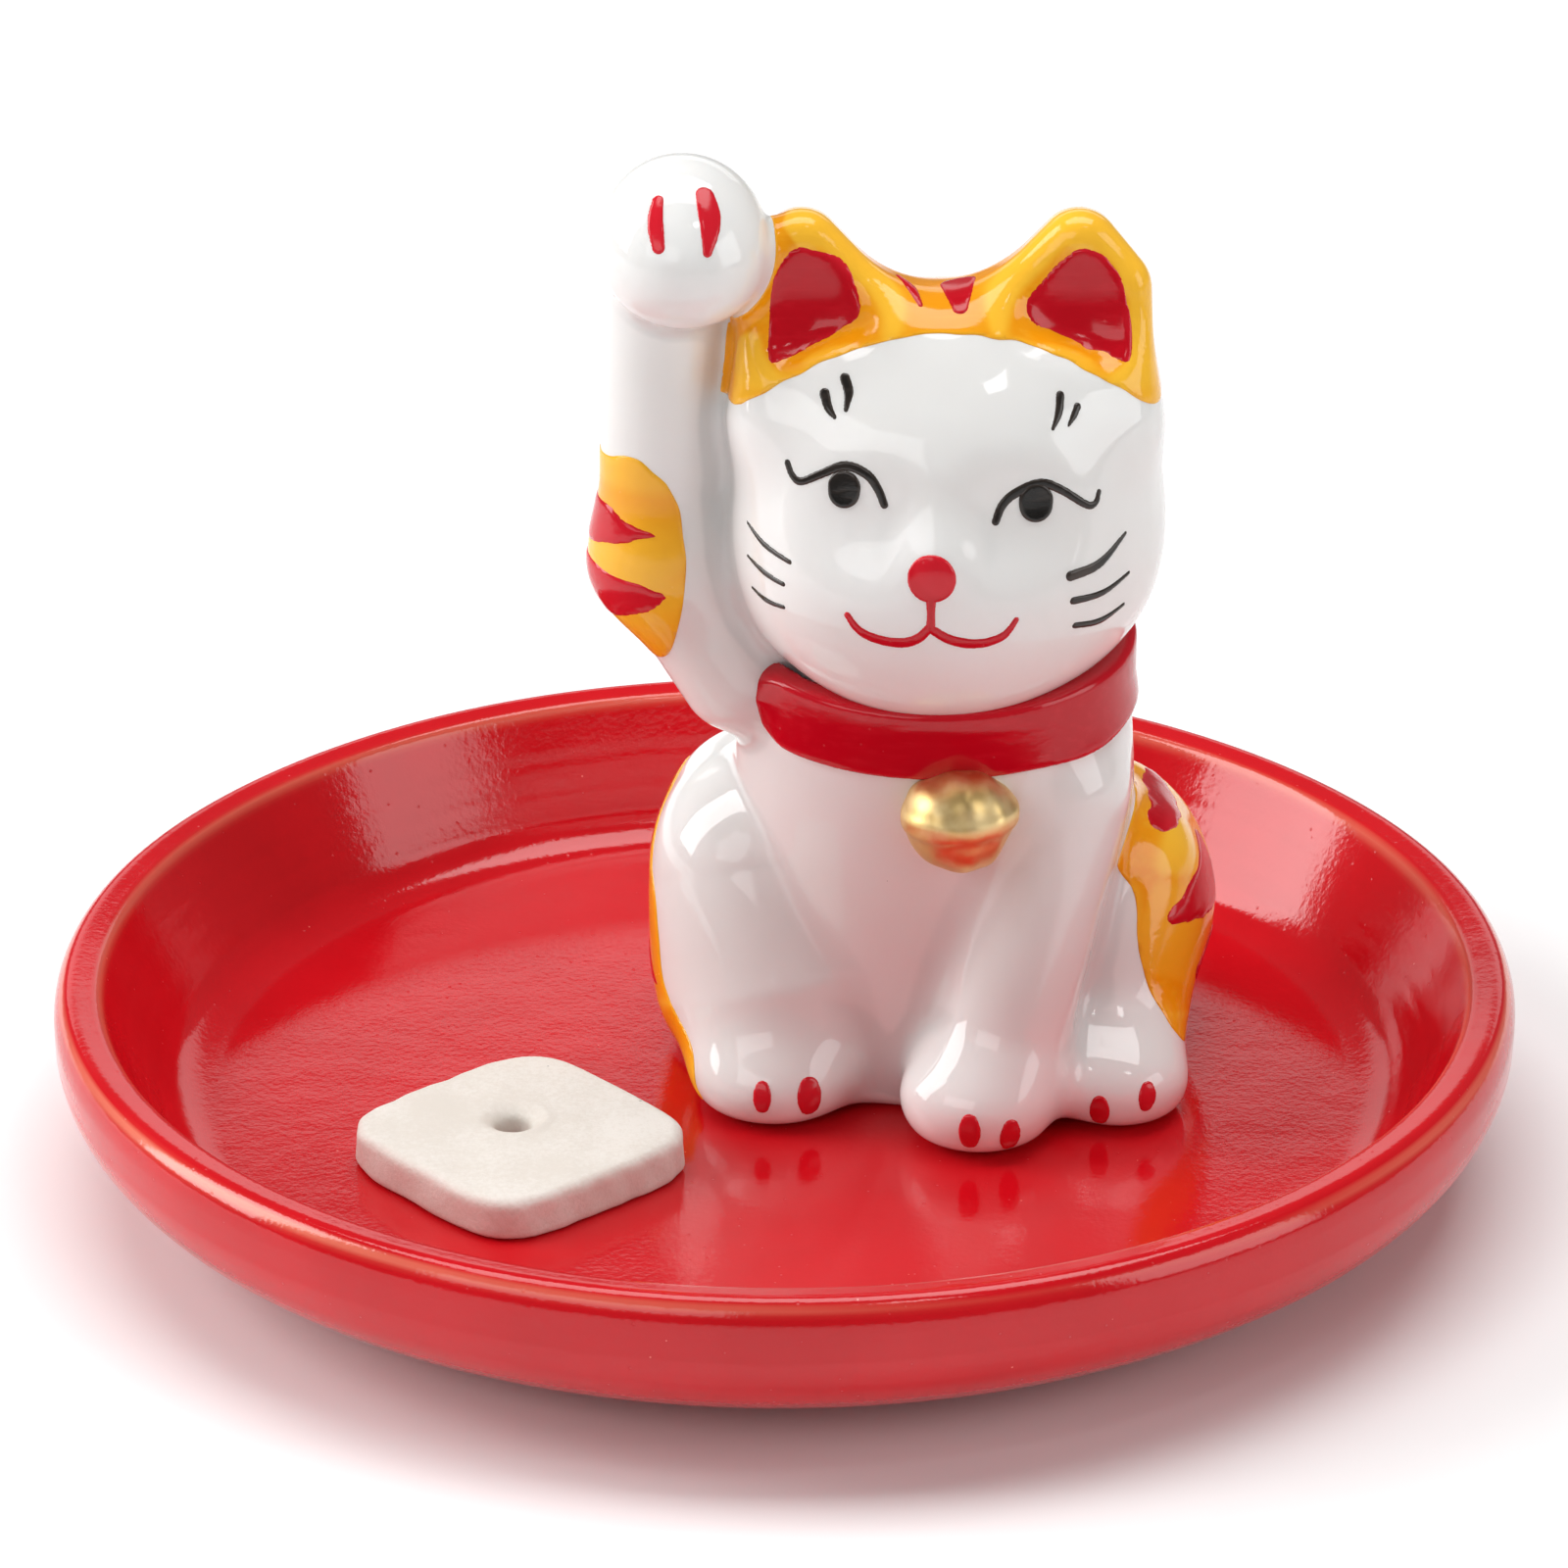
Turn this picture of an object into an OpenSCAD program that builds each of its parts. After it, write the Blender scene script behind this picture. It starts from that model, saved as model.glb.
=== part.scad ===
// Beckoning cat incense set: a glazed dish, a slip-cast porcelain cat that stands
// in it, and a small unglazed tile that holds one incense stick.
// Millimetres, +Z up. The origin is on the dish's axis, on the table.
// The viewer is on the -Y side, so the cat looks along -Y.

/* [Dish] */
// Widest diameter of the dish
dish_d = 121; // [112:1:130]
// Height of the rim above the table
dish_h = 17; // [15:0.5:20]
// Height of the floor's upper face above the table
floor_z = 5.2; // [4.5:0.1:6]
// Outer diameter of the turned foot ring
foot_d = 80; // [70:1:88]
// Height of the foot ring
foot_h = 1.6; // [1.2:0.1:2]
// Width of the foot ring's bare edge
foot_w = 3.2; // [2.4:0.1:4]

/* [Incense tile] */
// Side of the square tile
tile_side = 22; // [20:0.5:25]
// Thickness of the tile
tile_t = 3.7; // [3:0.1:5]
// Radius of the tile's four corners
tile_corner_r = 4.2; // [2:0.2:6]
// Radius of the hole for the incense stick
stick_hole_r = 1.4; // [1.1:0.05:1.6]
// Turn of the tile on the dish floor, in degrees
tile_turn = 41.5; // [30:0.5:60]
// Place of the tile, left of the dish's axis
tile_left = 21.5; // [20:0.5:24]
// Place of the tile, in front of the dish's axis
tile_forward = 14.3; // [12:0.1:16]

/* [Cat] */
// Place of the cat across the dish
cat_x = 12.8; // [8:0.2:14]
// Place of the cat from the front of the dish to the back
cat_y = 8; // [4:0.2:10]
// Half width of the body across the haunches
body_rx = 23.6; // [22:0.2:25]
// Thickness of the slip-cast wall
wall = 2.6; // [2:0.1:3.2]
// Radius of the drain hole in the cat's base
drain_r = 2.2; // [1.5:0.1:3]

/* [Head] */
// Half width of the head
head_rx = 18.1; // [17:0.1:19]
// Half height of the head
head_rz = 17.4; // [16.5:0.1:18.2]
// Height of the head's middle above the dish floor
head_z = 51.4; // [50:0.2:53]
// Height of the ear tips above the dish floor
ear_tip_z = 76.6; // [75:0.2:78]

/* [Raised arm] */
// Height of the raised paw's top above the dish floor
paw_top_z = 81.3; // [80:0.2:83]
// Radius of the forearm
forearm_r = 4.9; // [4.4:0.1:5.4]

/* [Collar and bell] */
// Height of the collar band
collar_h = 6; // [5:0.2:6.4]
// Radius of the bell
bell_r = 4.7; // [4:0.1:5.2]

/* [Hidden] */

// Facets of a ball inside a hull, of a turned solid, of the bell and of a small hole
ball_fn = 28;
turn_fn = 96;
bell_fn = 64;
hole_fn = 32;
past = 1;                       // how far a cut runs past a face

// Dish section
rim_r = dish_d / 2 - 0.9;       // crest of the rim
lip_r = rim_r - 3.4;            // inner edge of the rim
belly_z = dish_h - 4.1;         // height of the widest point
base_z = foot_h;                // underside of the dish inside the foot ring
foot_r = foot_d / 2;
wall_lean = 30;                 // lean of the inner wall, in degrees from upright
curve_r = 5.2;                  // curve between the wall and the floor
floor_r = lip_r - 8.9;          // where the floor meets that curve
lip_soft = 1.3;                 // rounding of the lip's inner edge
corner_steps = 10;
lip_steps = 5;

// The incense hole, off the tile's middle as it was pressed by hand
hole_across = 0.42;
hole_along = 1.37;

// Cat, measured from the dish floor under the cat's middle
mid = -4;                       // the head, ears and collar stand this far forward
shoulder_z = 33;                // height of the shoulders
haunch = [12.4, 15, 12];        // half sizes of a haunch
haunch_z = 11.5;
belly = [15.5, 13.5, 10];
belly_mid_z = 22;
chest = [13.5, 11, 7];
head_ry = 15.5;                 // half depth of the head
muzzle = [11, 10.5, 9.5];
muzzle_forward = 6.5;
muzzle_drop = 4.5;
drain_back = 4;                 // drain hole, behind the middle of the base

// Ear: rounded tip, outer foot and inner foot
ear_tip = [3.1, 2.6, 3];
ear_tip_x = 10.6;
ear_outer = [3.1, 4.4, 3.4];
ear_outer_x = 14.4;
ear_outer_up = 10.5;
ear_inner = [3, 4.4, 2.8];
ear_inner_x = 4.4;
ear_inner_up = 15;

// Raised arm, from the shoulder round the elbow to the wrist
arm_y = -5;
arm_root_x = -17;
elbow = [5.3, 5.3, 7];
elbow_x = -23.5;
elbow_z = 47.5;
wrist_x = -22.8;
wrist_drop = 12;
paw_r = 6.6;
paw_x = -20.7;
paw_y = -8;
heel = [6.2, 5.4, 4];
heel_drop = 9.5;

// Foreleg and front paw
leg_top = [7.6, -10.5, 24];
leg_foot = [4.4, -15.2, 6];
front_paw = [4.2, -17, 4];
front_heel = [4.4, -13, 3.6];

// Hind paws
hind_x = 14.6;
hind_y = -10.5;
hind_paw_size = [6.2, 6.4, 3.6];
hind_heel = [6, 6, 4.6];
hind_length = 8;

// Tail, curled up against the back
tail_root = [0, 17.5, 8];
tail_tip = [0, 18.6, 16];

// Collar and bell
collar_r = 13.4;                // inner radius across
collar_t = 2.8;
collar_squash = 0.86;           // depth against width
collar_tip = 7;                 // degrees down at the front
collar_up = 1.9;                // above the shoulders
bell_at = [1.2, -16.8, 29];
ridge_h = 0.8;                  // ridge about the bell
ridge_proud = 0.4;

// Points of a quarter ellipse from angle a0 to a1 about (cr, cz)
function arc(cr, cz, rr, rz, a0, a1, n) =
    [for (i = [0 : n]) let (a = a0 + (a1 - a0) * i / n) [cr + rr * cos(a), cz + rz * sin(a)]];

module ball(p, r) {
    translate(p) scale([r[0], r[1], r[2]]) sphere(r = 1, $fn = ball_fn);
}

module in_dish() {
    translate([cat_x, cat_y, floor_z]) children();
}

// Keeps what is above the dish floor
module above_floor() {
    intersection() {
        children();
        translate([-dish_d / 2, -dish_d / 2, 0]) cube(dish_d);
    }
}

// ---- Dish ----

module dish_bowl() {
    belly_rr = dish_d / 2 - foot_r;
    outside = concat(
        arc(foot_r, belly_z, belly_rr, belly_z - base_z, -90, 0, corner_steps),
        arc(rim_r, belly_z, dish_d / 2 - rim_r, dish_h - belly_z, 15, 90, lip_steps));
    inside = concat(
        arc(lip_r + lip_soft, dish_h - 1.6, lip_soft, 1.5, 90, 180 - wall_lean, lip_steps),
        arc(floor_r, floor_z + curve_r, curve_r, curve_r, -wall_lean, -90, corner_steps));
    color("crimson") rotate_extrude($fn = turn_fn)
        polygon(concat([[0, base_z]], outside, inside, [[0, floor_z]]));
}

module foot_ring() {
    color("tan") rotate_extrude($fn = turn_fn)
        translate([foot_r - foot_w, 0]) square([foot_w, foot_h]);
}

// ---- Incense tile ----

module rounded_square(side, r, h) {
    half = side / 2;
    translate([-half + r, -half, 0]) cube([side - 2 * r, side, h]);
    translate([-half, -half + r, 0]) cube([side, side - 2 * r, h]);
    for (sx = [-1, 1], sy = [-1, 1])
        translate([sx * (half - r), sy * (half - r), 0]) cylinder(r = r, h = h, $fn = 48);
}

module incense_tile() {
    color("ivory") translate([-tile_left, -tile_forward, floor_z]) rotate(tile_turn) difference() {
        rounded_square(tile_side, tile_corner_r, tile_t);
        translate([hole_across, hole_along, -past])
            cylinder(r = stick_hole_r, h = tile_t + 2 * past, $fn = hole_fn);
    }
}

// ---- Cat body ----

// The pear-shaped casting; inset pulls every face inwards by the wall
module body_form(inset) {
    hull() {
        for (side = [-1, 1])
            ball([side * (body_rx - haunch[0]), -mid, haunch_z], haunch - inset * [1, 1, 1]);
        ball([0, mid / 2, belly_mid_z], belly - inset * [1, 1, 1]);
        ball([0, mid, shoulder_z], chest - inset * [1, 1, 1]);
    }
}

module torso() {
    color("white") in_dish() difference() {
        above_floor() body_form(0);
        intersection() {
            body_form(wall);
            translate([-dish_d / 2, -dish_d / 2, wall]) cube(dish_d);
        }
        translate([0, drain_back, -past]) cylinder(r = drain_r, h = wall + 4 * past, $fn = hole_fn);
    }
}

module head() {
    skull = [head_rx, head_ry, head_rz];
    color("white") in_dish() difference() {
        hull() {
            ball([0, mid, head_z], skull);
            ball([0, mid - muzzle_forward, head_z - muzzle_drop], muzzle);
        }
        ball([0, mid, head_z], skull - wall * [1, 1, 1]);
    }
}

// One ear: a rounded wedge from the crown to its tip
module ear(side) {
    color("orange") in_dish() hull() {
        ball([side * ear_tip_x, mid, ear_tip_z - ear_tip[2]], ear_tip);
        ball([side * ear_outer_x, mid, head_z + ear_outer_up], ear_outer);
        ball([side * ear_inner_x, mid, head_z + ear_inner_up], ear_inner);
    }
}

module left_ear() { ear(1); }
module right_ear() { ear(-1); }

// ---- Legs ----

module raised_arm() {
    color("white") in_dish() hull() {
        ball([arm_root_x, arm_y, shoulder_z + 2], [4.2, 5, 5]);
        ball([elbow_x, arm_y, elbow_z], elbow);
        ball([wrist_x, arm_y, paw_top_z - wrist_drop], [forearm_r, forearm_r, 5]);
    }
}

module raised_paw() {
    color("white") in_dish() hull() {
        ball([paw_x, paw_y, paw_top_z - paw_r], [paw_r, paw_r, paw_r]);
        ball([paw_x, arm_y, paw_top_z - heel_drop], heel);
    }
}

module lowered_foreleg() {
    color("white") in_dish() above_floor() {
        hull() {
            ball(leg_top, [4.4, 4.5, 5]);
            ball(leg_foot, [4.6, 4.4, 5]);
        }
        hull() {
            ball(front_paw, [6.2, 6.4, 4.6]);
            ball(front_heel, [5.6, 5, 4.6]);
        }
    }
}

// One hind paw, showing from under its haunch
module hind_paw(side) {
    x = side * hind_x;
    color("white") in_dish() above_floor() hull() {
        ball([x, hind_y, hind_paw_size[2] - 0.7], hind_paw_size);
        ball([x, hind_y + hind_length, hind_heel[2] - 0.6], hind_heel);
    }
}

module left_hind_paw() { hind_paw(1); }
module right_hind_paw() { hind_paw(-1); }

module tail() {
    color("white") in_dish() hull() {
        ball(tail_root, [4.2, 4, 5]);
        ball(tail_tip, [3.6, 3.6, 4]);
    }
}

// ---- Collar and bell ----

module collar() {
    color("red") in_dish() translate([0, mid, shoulder_z + collar_up]) rotate([collar_tip, 0, 0])
        scale([1, collar_squash, 1]) rotate_extrude($fn = turn_fn)
            translate([collar_r, -collar_h / 2]) square([collar_t, collar_h]);
}

// A round bell with a ridge about its middle
module bell() {
    color("gold") in_dish() translate(bell_at) rotate_extrude($fn = bell_fn) {
        intersection() {
            circle(r = bell_r, $fn = bell_fn);
            translate([0, -bell_r]) square([bell_r, 2 * bell_r]);
        }
        translate([0, -ridge_h / 2]) square([bell_r + ridge_proud, ridge_h]);
    }
}

dish_bowl();
foot_ring();
incense_tile();
torso();
head();
left_ear();
right_ear();
raised_arm();
raised_paw();
lowered_foreleg();
left_hind_paw();
right_hind_paw();
tail();
collar();
bell();
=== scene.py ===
# %% [markdown]
# # A beckoning cat in its incense dish
#
# The object is one small set: a round dish with a thick red glaze, a slip-cast porcelain cat
# standing in it, and a square tile of unglazed clay that holds an incense stick.
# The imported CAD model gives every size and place. This lesson makes the surfaces that a CAD
# solid leaves plain: soft cast forms, thick glaze, and enamel laid on with a brush.
#
# The cat is modelled with distance fields. A field says how far a point is from a surface,
# so two forms can be blended the way wet slip rounds the corners of a mould.

# %% Load the frame and note its box
import math

import bpy
import numpy as np
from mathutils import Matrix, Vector


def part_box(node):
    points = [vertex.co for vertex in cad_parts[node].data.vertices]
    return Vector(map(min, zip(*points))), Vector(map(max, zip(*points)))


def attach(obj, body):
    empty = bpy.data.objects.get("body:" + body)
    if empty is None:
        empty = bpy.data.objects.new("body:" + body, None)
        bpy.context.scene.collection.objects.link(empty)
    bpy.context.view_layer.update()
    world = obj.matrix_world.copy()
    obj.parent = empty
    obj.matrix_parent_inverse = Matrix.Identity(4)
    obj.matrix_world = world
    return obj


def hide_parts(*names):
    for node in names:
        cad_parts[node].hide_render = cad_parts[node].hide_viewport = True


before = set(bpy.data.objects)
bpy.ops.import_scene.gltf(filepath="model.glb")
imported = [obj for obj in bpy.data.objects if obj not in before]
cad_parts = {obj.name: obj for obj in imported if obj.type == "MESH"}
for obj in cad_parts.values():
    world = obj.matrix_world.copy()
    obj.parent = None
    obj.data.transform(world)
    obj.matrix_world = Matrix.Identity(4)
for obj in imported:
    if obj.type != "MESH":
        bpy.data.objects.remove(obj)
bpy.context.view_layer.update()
MM = 0.001

dish_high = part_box("dish_bowl")[1]
torso_low, torso_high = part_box("torso")
tile_low, tile_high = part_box("incense_tile")
FLOOR = torso_low.z / MM
RIM_TOP = dish_high.z / MM
DISH_R = dish_high.x / MM
BACK_OF_BODY = 19.0
CAT_X = (torso_low.x + torso_high.x) / 2 / MM
CAT_Y = torso_high.y / MM - BACK_OF_BODY
CAT = np.array([CAT_X, CAT_Y, FLOOR])
print("dish radius", round(DISH_R, 2), "mm, cat stands at", CAT.round(2))

# %% [markdown]
# ## Small helpers
#
# Everything below is worked out in millimetres and turned into metres only when the mesh is
# made. A piece always rides on the CAD body it belongs to and hides the CAD nodes it stands for.

# %% Helpers for meshes
def make_piece(name, points, faces, material, body, nodes=(), origin=(0, 0, 0)):
    """A mesh from points in millimetres and faces, smooth shaded, riding on a CAD body."""
    mesh = bpy.data.meshes.new(name)
    mesh.from_pydata(((np.asarray(points) + origin) * MM).tolist(), [], faces)
    mesh.polygons.foreach_set("use_smooth", [True] * len(mesh.polygons))
    mesh.materials.append(material)
    mesh.validate()
    piece = bpy.data.objects.new(name, mesh)
    bpy.context.scene.collection.objects.link(piece)
    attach(piece, body)
    if nodes:
        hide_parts(*nodes)
    print(f"{name}: {len(mesh.vertices)} points, {len(mesh.polygons)} faces")
    return piece


def store(piece, name, values):
    """Keeps one number per point of the mesh, for a material to read."""
    layer = piece.data.attributes.new(name, "FLOAT", "POINT")
    layer.data.foreach_set("value", np.asarray(values, np.float32))


def smooth_path(points, closed=False, per_span=6):
    """A Catmull-Rom curve through the given points."""
    p = np.asarray(points, float)
    if closed:
        p = np.concatenate([p[-1:], p, p[:2]])
    else:
        p = np.concatenate([2 * p[:1] - p[1:2], p, 2 * p[-1:] - p[-2:-1]])
    t = np.linspace(0, 1, per_span, endpoint=False)[:, None]
    spans = []
    for a, b, c, d in zip(p[:-3], p[1:-2], p[2:-1], p[3:]):
        spans.append(0.5 * (2 * b + (c - a) * t + (2 * a - 5 * b + 4 * c - d) * t**2
                            + (3 * b - a - 3 * c + d) * t**3))
    curve = np.concatenate(spans)
    return curve if closed else np.concatenate([curve, p[-2:-1]])


# %% [markdown]
# ## Distance fields
#
# Each function takes points and gives a distance: negative inside, positive outside.
# `join` and `carve` blend two fields over a given width, which makes the soft inside corners
# of a casting. Their last number is the width of that blend in millimetres.

# %% Field helpers
def length(v):
    return np.sqrt((v * v).sum(-1))


def egg(p, centre, radii):
    """An ellipsoid."""
    q = p - np.array(centre, float)
    r = np.array(radii, float)
    k = length(q / r)
    return k * (k - 1) / np.maximum(length(q / (r * r)), 1e-9)


def cushion(p, centre, radii, power):
    """An ellipsoid with fuller corners; a power of 2 is the plain ellipsoid."""
    r = np.array(radii, float)
    a = np.abs((p - np.array(centre, float)) / r)
    f = np.maximum((a**power).sum(-1), 1e-12) ** (1 / power)
    slope = length(a ** (power - 1) / r * (f ** (1 - power))[..., None])
    return (f - 1) / np.maximum(slope, 1e-6)


def limb(p, a, b, ra, rb):
    """A round limb from a to b, tapering from radius ra to rb."""
    a = np.array(a, float)
    d = np.array(b, float) - a
    t = np.clip(((p - a) @ d) / (d @ d), 0, 1)
    return length(p - a - t[..., None] * d) - (ra + (rb - ra) * t)


def join(a, b, width):
    h = np.maximum(width - np.abs(a - b), 0) / width
    return np.minimum(a, b) - h * h * width / 4


def carve(a, b, width):
    """What a and b have in common, with a rounded edge."""
    return -join(-a, -b, width)


def inside_loop(u, v, loop):
    """Signed distance in a plane to a closed loop of points."""
    away = np.full(u.shape, 1e9)
    inside = np.zeros(u.shape, bool)
    for (au, av), (bu, bv) in zip(loop, np.roll(loop, -1, 0)):
        du, dv = bu - au, bv - av
        t = np.clip(((u - au) * du + (v - av) * dv) / (du * du + dv * dv + 1e-12), 0, 1)
        away = np.minimum(away, np.hypot(u - au - t * du, v - av - t * dv))
        crosses = (av > v) != (bv > v)
        side = u < au + du * (v - av) / (dv if abs(dv) > 1e-9 else 1e-9)
        inside ^= crosses & side
    return np.where(inside, -away, away)


# %% [markdown]
# ## From field to mesh
#
# Surface nets put one point in every cell that the surface passes through and join the points
# of neighbouring cells with quads. The field is first sampled on a coarse grid, so that the
# fine grid is only filled in near the surface. `settle` then slides every point along the
# field's slope until it lies exactly on the surface, which removes the grid's staircase.

# %% Meshing
BLOCK = 4


def slope_of(field, p, step=0.03):
    """Value and gradient of a field, from four samples at the corners of a tetrahedron."""
    corners = np.array([(1, -1, -1), (-1, -1, 1), (-1, 1, -1), (1, 1, 1)], float)
    values = [field(p + step * c) for c in corners]
    gradient = sum(v[..., None] * c for v, c in zip(values, corners)) / (4 * step)
    return sum(values) / 4, gradient


def settle(field, p, rounds=2):
    for _ in range(rounds):
        value, gradient = slope_of(field, p)
        p = p - gradient * (value / np.maximum((gradient**2).sum(-1), 0.05))[:, None]
    return p


def sample(field, low, size, step):
    """The field on a grid, worked out only in the blocks that the surface may cross."""
    coarse = [low[i] + step * BLOCK * (np.arange(size[i] // BLOCK) + 0.5) for i in range(3)]
    middle = np.stack(np.meshgrid(*coarse, indexing="ij"), -1)
    far = field(middle.reshape(-1, 3)).reshape(middle.shape[:3])
    reach = step * BLOCK * math.sqrt(3) / 2 * 1.6 + step
    values = np.repeat(np.repeat(np.repeat(np.sign(far) * 9, BLOCK, 0), BLOCK, 1), BLOCK, 2)
    inner = np.stack(np.meshgrid(*[np.arange(BLOCK)] * 3, indexing="ij"), -1).reshape(-1, 3)
    near = np.argwhere(np.abs(far) < reach)
    for part in np.array_split(near, max(1, len(near) // 2000)):
        cells = (part[:, None, :] * BLOCK + inner).reshape(-1, 3)
        values[tuple(cells.T)] = field(low + step * (cells + 0.0))
    return values


def skin(field, low, high, step, polish=2):
    """A closed quad mesh on the field's zero surface inside the box."""
    low = np.array(low, float)
    size = (np.ceil((np.array(high) - low) / (step * BLOCK)).astype(int) + 1) * BLOCK
    values = sample(field, low, size, step)
    inside = values < 0
    count = np.zeros([n - 1 for n in size], np.int8)
    for i in (0, 1):
        for j in (0, 1):
            for k in (0, 1):
                count += inside[i:size[0] - 1 + i, j:size[1] - 1 + j, k:size[2] - 1 + k]
    cells = np.argwhere((count > 0) & (count < 8))
    number = -np.ones(count.shape, int)
    number[tuple(cells.T)] = np.arange(len(cells))
    total = np.zeros((len(cells), 3))
    hits = np.zeros(len(cells))
    for axis in range(3):
        for u in (0, 1):
            for v in (0, 1):
                start = np.zeros(3, int)
                start[(axis + 1) % 3] = u
                start[(axis + 2) % 3] = v
                end = start.copy()
                end[axis] = 1
                a = values[tuple((cells + start).T)]
                b = values[tuple((cells + end).T)]
                crossed = (a < 0) != (b < 0)
                where = np.tile(start.astype(float), (len(cells), 1))
                where[:, axis] = np.where(crossed, a / np.where(crossed, a - b, 1), 0)
                total += where * crossed[:, None]
                hits += crossed
    points = low + step * (cells + total / hits[:, None])
    quads = []
    for axis in range(3):
        b, c = (axis + 1) % 3, (axis + 2) % 3
        first = np.take(inside, range(size[axis] - 1), axis)
        second = np.take(inside, range(1, size[axis]), axis)
        edge = np.argwhere(first != second)
        keep = (edge[:, b] > 0) & (edge[:, c] > 0)
        keep &= (edge[:, b] < size[b] - 1) & (edge[:, c] < size[c] - 1)
        edge = edge[keep]
        ring = []
        for db, dc in ((0, 0), (-1, 0), (-1, -1), (0, -1)):
            cell = edge.copy()
            cell[:, b] += db
            cell[:, c] += dc
            ring.append(number[tuple(cell.T)])
        ring = np.stack(ring, -1)
        flip = ~first[tuple(edge.T)]
        ring[flip] = ring[flip][:, ::-1]
        quads.append(ring)
    return settle(field, points, polish), np.concatenate(quads)


# %% [markdown]
# ## Materials
#
# A glaze is glass: its colour sits still while its surface ripples, so most of the detail is
# in the bump and in the gloss. The effects that several finishes share are node groups, and
# each finish mixes them in its own amounts.

# %% Node helpers
def effect(name, inputs, outputs):
    """A node group with float inputs and the given outputs; gives the tree and its ends."""
    tree = bpy.data.node_groups.new(name, "ShaderNodeTree")
    for title, value in inputs:
        socket = tree.interface.new_socket(title, in_out="INPUT", socket_type="NodeSocketFloat")
        socket.default_value = value
    for title in outputs:
        tree.interface.new_socket(title, in_out="OUTPUT", socket_type="NodeSocketFloat")
    start = tree.nodes.new("NodeGroupInput")
    end = tree.nodes.new("NodeGroupOutput")
    return tree, start, end


def put(tree, kind, **values):
    """Adds a node; a value named like an input goes to that input, others are settings."""
    node = tree.nodes.new(kind)
    for key, value in values.items():
        if key in node.inputs:
            node.inputs[key].default_value = value
        else:
            setattr(node, key, value)
    return node


def wire(tree, source, output, target, entry):
    tree.links.new(source.outputs[output], target.inputs[entry])


def feed(tree, source, target, entry):
    """Links a (node, output) pair to an input."""
    wire(tree, *source, target, entry)


def textured(tree, kind, **values):
    """A texture node laid out by the piece's own coordinates."""
    node = put(tree, kind, **values)
    wire(tree, put(tree, "ShaderNodeTexCoord"), "Object", node, "Vector")
    return node


def sums(tree, operation, a, b):
    """One maths node; a and b are numbers or (node, output) pairs."""
    node = put(tree, "ShaderNodeMath", operation=operation)
    for i, value in enumerate((a, b)):
        if isinstance(value, tuple):
            feed(tree, value, node, i)
        else:
            node.inputs[i].default_value = value
    return (node, 0)


def product(tree, value, *others):
    for other in others:
        value = sums(tree, "MULTIPLY", value, other)
    return value


def between(tree, source, low, high, out_low=0.0, out_high=1.0):
    """Maps a value that runs from low to high onto a new range, with soft ends."""
    node = put(tree, "ShaderNodeMapRange", interpolation_type="SMOOTHSTEP")
    feed(tree, source, node, "Value")
    for key, value in (("From Min", low), ("From Max", high), ("To Min", out_low), ("To Max", out_high)):
        node.inputs[key].default_value = value
    return (node, "Result")


def blend_colour(tree, mask, first, second):
    """A colour that goes from first to second as the mask goes from 0 to 1."""
    node = put(tree, "ShaderNodeMix", data_type="RGBA")
    feed(tree, mask, node, 0)
    for entry, value in ((6, first), (7, second)):
        if isinstance(value[0], bpy.types.Node):
            feed(tree, value, node, entry)
        else:
            node.inputs[entry].default_value = (*value, 1)
    return (node, 2)


# %% [markdown]
# Four effects carry most of the work. **Glaze surface** is the slow orange-peel ripple of
# melted glass, a fine tooth that frays the edges of reflections, and tiny open pinholes.
# **Iron specks** are the dark grains that burn out of the clay. **Brush streaks** follow the
# hairs of the brush, and thin the enamel where they part. **Fine scratches** are the rubs
# that show in the gold.

# %% Shared effects
def glaze_surface():
    tree, start, end = effect("Glaze surface", [("Ripple", 1), ("Tooth", 1), ("Pinholes", 1)],
                              ["Height", "Gloss loss"])
    slow = textured(tree, "ShaderNodeTexNoise", Scale=260.0, Detail=1.0)
    fine = textured(tree, "ShaderNodeTexNoise", Scale=1700.0, Detail=2.0, Roughness=0.6)
    cells = textured(tree, "ShaderNodeTexVoronoi", Scale=700.0)
    hole = between(tree, (cells, "Distance"), 0.03, 0.13, 1.0, 0.0)
    chosen = between(tree, (cells, "Color"), 0.45, 0.47)
    hole = product(tree, hole, chosen, (start, "Pinholes"))
    ripple = product(tree, (slow, "Fac"), (start, "Ripple"))
    tooth = product(tree, (fine, "Fac"), (start, "Tooth"), 0.05)
    height = sums(tree, "ADD", ripple, tooth)
    height = sums(tree, "SUBTRACT", height, product(tree, hole, 0.25))
    feed(tree, height, end, "Height")
    feed(tree, hole, end, "Gloss loss")
    return tree


def iron_specks():
    tree, start, end = effect("Iron specks", [("Spacing", 160), ("Size", 0.02), ("Share", 0.25)],
                              ["Mask"])
    cells = textured(tree, "ShaderNodeTexVoronoi")
    wire(tree, start, "Spacing", cells, "Scale")
    near = sums(tree, "LESS_THAN", (cells, "Distance"), (start, "Size"))
    few = sums(tree, "LESS_THAN", (cells, "Color"), (start, "Share"))
    feed(tree, product(tree, near, few), end, "Mask")
    return tree


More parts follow.
